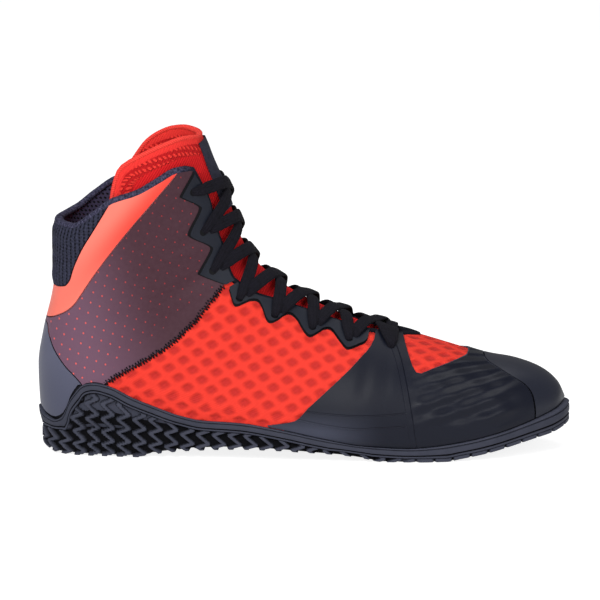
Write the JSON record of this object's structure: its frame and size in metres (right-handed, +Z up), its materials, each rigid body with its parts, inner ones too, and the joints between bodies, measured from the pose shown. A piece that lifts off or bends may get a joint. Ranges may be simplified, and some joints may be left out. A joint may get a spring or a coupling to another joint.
{
  "type": "wrestling shoe",
  "caption": "High-top wrestling shoe with a knit tongue, mesh vamp, film panels, crossed flat laces and a thin ribbed outsole that wraps up the heel.",
  "frame": {"origin": "on the floor under the centre of the shoe's bounding box", "axes": "+X to the toe, +Y to the medial (inner) side, +Z up"},
  "size_m": [0.2854, 0.0944, 0.1709],
  "materials": {
    "outsole": "matt slate moulded rubber with ribbed side",
    "upper": "bright red-orange sandwich mesh with a diamond pattern",
    "insole": "dark knit-faced foam footbed",
    "tongue": "red rib-knit tongue with a padded rim",
    "tongue_strip": "plain navy woven strip",
    "forefoot_overlay": "satin dark navy film wrap",
    "toe_cap": "satin dark navy toe film",
    "heel_counter": "semi-gloss slate film",
    "coral_band": "semi-gloss coral film",
    "heel_pad": "navy rib-knit padding",
    "ankle_panel_lateral": "maroon and grey film with coral dots",
    "ankle_panel_medial": "maroon and grey film with coral dots",
    "upper_eyestay_lateral": "dark navy film eyestay",
    "upper_eyestay_medial": "dark navy film eyestay",
    "lower_eyestay_lateral": "dark navy film eyestay",
    "lower_eyestay_medial": "dark navy film eyestay",
    "lace_bar": "flat black woven lace",
    "lace_crossing_1": "flat black woven lace",
    "lace_crossing_2": "flat black woven lace",
    "lace_crossing_3": "flat black woven lace",
    "lace_crossing_4": "flat black woven lace",
    "lace_crossing_5": "flat black woven lace",
    "lace_crossing_6": "flat black woven lace",
    "lace_crossing_7": "flat black woven lace"
  },
  "bodies": {
    "root": {"outsole": "outsole", "upper": "upper", "insole": "insole", "tongue": "tongue", "tongue_strip": "tongue_strip", "forefoot_overlay": "forefoot_overlay", "toe_cap": "toe_cap", "heel_counter": "heel_counter", "coral_band": "coral_band", "heel_pad": "heel_pad", "ankle_panel_lateral": "ankle_panel_lateral", "ankle_panel_medial": "ankle_panel_medial", "upper_eyestay_lateral": "upper_eyestay_lateral", "upper_eyestay_medial": "upper_eyestay_medial", "lower_eyestay_lateral": "lower_eyestay_lateral", "lower_eyestay_medial": "lower_eyestay_medial", "lace_bar": "lace_bar", "lace_crossing_1": "lace_crossing_1", "lace_crossing_2": "lace_crossing_2", "lace_crossing_3": "lace_crossing_3", "lace_crossing_4": "lace_crossing_4", "lace_crossing_5": "lace_crossing_5", "lace_crossing_6": "lace_crossing_6", "lace_crossing_7": "lace_crossing_7"}
  },
  "joints": []
}
